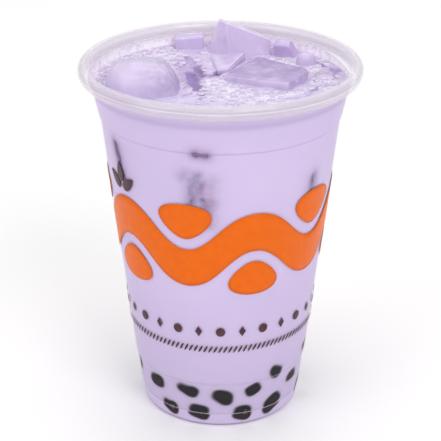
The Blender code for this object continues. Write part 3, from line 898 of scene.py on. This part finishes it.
surface = drink_points[on_top]
to_ice = np.min([outside_of(surface, node) for node in ICE_NODES], axis=0)
wander = np.stack([waves(surface, WANDER_SIZE, count=5, seed=seed) for seed in (31, 32)], axis=1)
wandered = surface[:, :2] + WANDER * wander
gap = strokes(wandered, GAPS)
creamed = strokes(wandered, CREAM)
to_wall = brim - np.hypot(surface[:, 0], surface[:, 1])
creep = WALL_CREEP * np.clip(1.0 - to_wall / CREEP_REACH, 0.0, 1.0) ** 2
creep += ICE_CREEP * np.exp(-np.maximum(to_ice, 0.0) / ICE_CREEP_REACH) * (to_ice > -ICE_CREEP_DEPTH)
froth = SWELL[0] * waves(surface, SWELL[1], count=7, seed=5)
froth += RIPPLE[0] * waves(surface, RIPPLE[1], count=9, seed=6)
froth *= np.clip(to_wall / CREEP_REACH, 0.0, 1.0)
drink_points[on_top, 2] += creep * (1.0 - gap) + froth - GAP_DEPTH * gap
drink = new_piece("drink_fine", drink_points, drink_faces)


def milk_before(points, middles, skin):
    """Thickness of milk between each point and the nearest of several bodies, each given by its
    middle and its skin's distance from there."""
    nearest = np.full(len(points), FAR)
    for index, middle in enumerate(middles):
        offset = points - middle
        distance = np.linalg.norm(offset, axis=1)
        close = distance < PEARL_REACH
        milk = distance[close] - skin(offset[close] / distance[close, None], index)
        nearest[close] = np.minimum(nearest[close], milk)
    return nearest


def milk_before_block(points, middle, axes_turn, half):
    """Distance of points from a box with softened edges, in its own axes: the length of what lies
    past each half size."""
    past = np.abs((points - middle) @ axes_turn) - half + BLOCK_SOFTNESS
    outside = np.linalg.norm(np.maximum(past, 0.0), axis=1)
    return outside + np.minimum(past.max(axis=1), 0.0) - BLOCK_SOFTNESS


seen_from = drink_points.copy()
from_axis = np.hypot(seen_from[:, 0], seen_from[:, 1])
under_ring = (seen_from[:, 2] < CRESCENT_TOP) & (from_axis > CRESCENT_RADIUS)
seen_from[under_ring, 2] += CRESCENT_LIFT
pearl_milk = milk_before(seen_from, all_middles, pearl_skin)
pearl_shade = 1.0 - ease(pearl_milk, *PEARL_MILK)
halo = np.exp(-np.maximum(pearl_milk - PEARL_MILK[0], 0.0) / PEARL_HALO)
sunk_places = [sunk_place(*block) for block in SUNK_ICE]
block_milk = np.min([milk_before_block(drink_points, *place) for place in sunk_places], axis=0)
ice_shade = np.exp(-np.maximum(block_milk, 0.0) / ICE_FADE)
even, uneven, creamy, less = FROTH_SHARES
frothy = even + uneven * waves(surface, 9.0, count=5, seed=12) + creamy * creamed - less * gap


def on_surface(values):
    """Values for the points on top, and 0 for all others."""
    spread = np.zeros(len(drink_points))
    spread[on_top] = values
    return spread


paint(drink, "pearl", pearl_shade * ~milky)
paint(drink, "halo", halo * ~milky)
paint(drink, "under", under_ring)
paint(drink, "ice", ice_shade * ~milky)
paint(drink, "froth", on_surface(np.clip(frothy, 0.0, 1.0)))
paint(drink, "film", milky & ~on_top)
# Painted shade in the gaps between the froth and the ice, deepest in one of them.
paint(drink, "gap_shade", on_surface(gap))
paint(drink, "deep_gap_shade", on_surface(stroke(wandered, *GAPS[DARK_GAP])))
paint(drink, "low", 1.0 - ease(drink_points[:, 2], *LOW_HEIGHTS))
ring_line = bells(drink_points[:, 2], [(height, RING_WIDTH, 1.0) for height in RING_HEIGHTS])
neck_line = bells(drink_points[:, 2], [NECK_SHADE])
paint(drink, "ring", np.maximum(ring_line, neck_line) * ~milky)

tree, shader = new_material(drink, "milk_at_wall", Roughness=0.5, IOR=1.35, Specular_IOR_Level=0.1)
under = painted(tree, "under")
milk = blend(tree, between(tree, cloud(tree, 30.0, detail=3.0), 0.35, 0.65), *MILK_TONES)
milk = blend(tree, painted(tree, "low"), milk, LOW_MILK)
milk = blend(tree, between(tree, painted(tree, "halo"), 0.1, 0.9, 0.0, 0.55), milk, HALO_TONE)
# Painted shade: where sunken ice lies close to the wall, the milk is darkened in blots, darkest at
# the core.
blotches = between(tree, cloud(tree, 3.6, detail=2.5), 0.32, 0.68, 0.6, 1.1)
patch = worked_out(tree, "MULTIPLY", painted(tree, "ice"), blotches)
patch_shade = blend(tree, between(tree, cloud(tree, 5.0), 0.45, 0.6), *PATCH_SHADE_TONES)
milk = blend(tree, between(tree, patch, 0.0, 0.8), milk, patch_shade)
milk = blend(tree, between(tree, patch, 0.62, 1.0), milk, PATCH_SHADE_CORE)
milk = blend(tree, between(tree, painted(tree, "ring"), 0.0, 1.0, 0.0, 0.5), milk, RING_SHADE)
# Painted light: below the lowest ring, where the foot curves under, the milk is painted lighter.
milk = blend(tree, under, milk, UNDER_RING_LIGHT)
bead = blend(tree, under, PEARL_TONE, CRESCENT_TONE)
put(tree, shader.inputs["Base Color"], blend(tree, painted(tree, "pearl"), milk, bead))

tree, shader = new_material(
    drink, "milk_on_top", Roughness=0.3, IOR=1.35, Subsurface_Weight=0.2,
    Subsurface_Scale=1.5 * MM,
)
mottle = between(tree, cloud(tree, 1.4, detail=3.0), 0.42, 0.62, 0.0, 0.4)
specks = between(tree, cloud(tree, 1.6, detail=3.0), 0.5, 0.62, 0.0, 0.6)
milk = blend(tree, painted(tree, "froth"), *FROTH_TONES)
milk = blend(tree, mottle, milk, MOTTLE_TONE)
# The film on the wall is painted near white: paler as a thin layer of milk, and painted lighter
# against the shade that falls on an upright film.
milk = blend(tree, painted(tree, "film"), milk, blend(tree, specks, *FILM_LIGHT_TONES))
milk = blend(tree, painted(tree, "gap_shade"), milk, GAP_SHADE)
milk = blend(tree, painted(tree, "deep_gap_shade"), milk, DEEP_GAP_SHADE)
put(tree, shader.inputs["Base Color"], milk)
relief(tree, shader, cloud(tree, 1.2, detail=2.0), 0.06)
top_face = np.array([milky[face[0]] and milky[face[2]] for face in drink_faces])
drink.data.polygons.foreach_set("material_index", top_face.astype(np.int32))
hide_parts("drink")
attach(drink, "root")


# Froth: bubbles beaten into the milk as it was poured. The large ones stand where the solid has
# them, the small ones crowd the open surface, each a thin dome that is whitest round its foot.
CROWN_RISE = 0.75
CROWN_SPACING = 1.2
BUBBLE_RISE = 0.65
BIG_RADII = (0.5, 2.8)
BUBBLE_RINGS = 4
BUBBLE_SIDES = 10
FLATNESS = 0.55
DOME_FOOT = -0.25
FOAM_SEED = 4
FOAM_TRIES = 9000
FOAM_RADII = (0.5, 1.7)
FOAM_POWER = 2.5
FOAM_OVERLAP = 0.9
FOAM_LIFT = 0.12
# The chance that a bubble stays: on plain milk, and what creamy froth adds.
FOAM_CHANCE = (0.02, 0.95)
GAP_EDGE = 0.3
BUBBLE_TONE = (226, 213, 241)
BUBBLE_RIM = (250, 246, 254)


def high_points(node, lowest, apart):
    """Corners of a solid that stand over a height with no higher corner nearby."""
    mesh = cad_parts[node].data
    corners = np.empty(len(mesh.vertices) * 3)
    mesh.vertices.foreach_get("co", corners)
    corners = np.unique(np.round(corners.reshape(-1, 3) / MM, 3), axis=0)
    corners = corners[corners[:, 2] > lowest]
    gaps = np.linalg.norm(corners[:, None, :2] - corners[None, :, :2], axis=2)
    beaten = (gaps < apart) & (corners[None, :, 2] > corners[:, None, 2])
    return corners[~beaten.any(axis=1)]


def domes(places, radii, rings, sides):
    """Low domes on the surface, each a flattened ball: rings at even angles from just under its
    foot to its crown. Also gives how near each point is to the foot, as one less the sine."""
    angle = np.linspace(0.0, math.tau, sides, endpoint=False)
    rise = np.linspace(DOME_FOOT, 1.0, rings + 1)[:-1] * math.pi / 2
    flat, height = np.cos(rise)[:, None], np.sin(rise)[:, None]
    ring = np.stack([flat * np.cos(angle), flat * np.sin(angle), height + 0.0 * angle], axis=-1)
    one = np.concatenate([ring.reshape(-1, 3), [[0.0, 0.0, 1.0]]])
    points = places[:, None, :] + (one * (1.0, 1.0, FLATNESS))[None] * radii[:, None, None]
    quads = grid_faces(rings, sides, wrap=True)
    crown = (rings - 1) * sides
    here = crown + np.arange(sides)
    there = crown + (np.arange(sides) + 1) % sides
    fans = np.stack([here, there, np.full(sides, len(one) - 1)], axis=1)
    starts = np.arange(len(places))[:, None, None] * len(one)
    faces = (quads[None] + starts).reshape(-1, 4).tolist()
    faces += (fans[None] + starts).reshape(-1, 3).tolist()
    up = np.append(np.repeat(np.sin(np.maximum(rise, 0.0)), sides), 1.0)
    return points.reshape(-1, 3), faces, np.tile(1.0 - up, len(places))


crowns = high_points("drink", LEVEL + CROWN_RISE, CROWN_SPACING)
big_radii = np.clip((crowns[:, 2] - LEVEL) / BUBBLE_RISE, *BIG_RADII)
big_places = crowns - big_radii[:, None] * (0.0, 0.0, FLATNESS)
draw = np.random.default_rng(FOAM_SEED)
away = brim * np.sqrt(draw.uniform(0.0, 1.0, FOAM_TRIES))
bearing = draw.uniform(0.0, math.tau, FOAM_TRIES)
sites = np.column_stack([away * np.cos(bearing), away * np.sin(bearing), np.full(FOAM_TRIES, LEVEL)])
least, most = FOAM_RADII
small_radii = least + (most - least) * draw.uniform(0.0, 1.0, FOAM_TRIES) ** FOAM_POWER
small_radii = np.sort(small_radii)[::-1]
free = np.min([outside_of(sites, node) for node in ICE_NODES], axis=0) > small_radii / 2
free &= away < brim - FILM_THICKNESS - small_radii
free &= strokes(sites, GAPS) < GAP_EDGE
chance = FOAM_CHANCE[0] + FOAM_CHANCE[1] * strokes(sites, CREAM)
free &= draw.uniform(0.0, 1.0, FOAM_TRIES) < chance
sites, small_radii = sites[free], small_radii[free]
middles, radii = big_places[:, :2], big_radii
for site, radius in zip(sites[:, :2], small_radii):
    if (np.hypot(*(middles - site).T) > FOAM_OVERLAP * (radii + radius)).all():
        middles = np.vstack([middles, site])
        radii = np.append(radii, radius)
small_places = np.insert(middles[len(big_radii):], 2, LEVEL + FOAM_LIFT, axis=1)
places = np.concatenate([big_places, small_places])
bubble_points, bubble_faces, near_foot = domes(places, radii, BUBBLE_RINGS, BUBBLE_SIDES)
bubbles = new_piece("froth_bubbles", bubble_points, bubble_faces)
paint(bubbles, "foot", near_foot)
tree, shader = new_material(bubbles, "froth_film", Roughness=0.1, IOR=1.33)
rim = between(tree, painted(tree, "foot"), 0.3, 0.85)
put(tree, shader.inputs["Base Color"], blend(tree, rim, BUBBLE_TONE, BUBBLE_RIM))
put(tree, shader.inputs["Alpha"], between(tree, rim, 0.0, 1.0, 0.4, 1.0))
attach(bubbles, "root")


# The setting: a plain white floor under a white sky, four softboxes and the camera at the
# photograph's angle. None of it is part of the object.
FLOOR_CORNERS = np.array([[-3, -3, 0], [3, -3, 0], [3, 3, 0], [-3, 3, 0]]) * 1000.0
FLOOR_WHITE = (0.97, 0.97, 0.97, 1.0)
SKY_STRENGTH = 0.68
LIGHTS_AIM = (0.0, 0.0, 0.07)
CAMERA_PLACE = (0.0, -0.45605, 0.27323)
CAMERA_AIM = (0.0, 0.0, 0.06679)
LENS = 117.25
FILM_WIDTH = 36.0
floor = new_piece("floor", FLOOR_CORNERS, [[0, 1, 2, 3]])
new_material(floor, "floor", Base_Color=FLOOR_WHITE, Roughness=0.9)


def aimed(place, aim):
    """The turn that makes a light or camera at a place look at another."""
    return (Vector(aim) - Vector(place)).to_track_quat("-Z", "Y").to_euler()


def softbox(name, place, size, power):
    """A square light that faces the middle of the cup."""
    lamp = bpy.data.lights.new(name, "AREA")
    lamp.size = size
    lamp.energy = power
    light = bpy.data.objects.new(name, lamp)
    light.location = place
    light.rotation_euler = aimed(place, LIGHTS_AIM)
    bpy.context.scene.collection.objects.link(light)


softbox("key", (0.5, -0.85, 0.9), 0.6, 4.0)
softbox("fill", (-0.8, -0.6, 0.7), 0.6, 1.8)
softbox("back", (0.1, 0.9, 0.9), 0.8, 2.0)
softbox("overhead", (0.0, 0.0, 1.4), 0.8, 3.0)
world = bpy.data.worlds.new("white_room")
world.use_nodes = True
sky = world.node_tree.nodes["Background"]
sky.inputs["Color"].default_value = (1.0, 1.0, 1.0, 1.0)
sky.inputs["Strength"].default_value = SKY_STRENGTH
bpy.context.scene.world = world
camera = bpy.data.objects.new("camera", bpy.data.cameras.new("camera"))
camera.data.lens = LENS
camera.data.sensor_width = FILM_WIDTH
camera.location = CAMERA_PLACE
camera.rotation_euler = aimed(CAMERA_PLACE, CAMERA_AIM)
bpy.context.scene.collection.objects.link(camera)
bpy.context.scene.camera = camera
bpy.context.scene.view_settings.view_transform = "Standard"
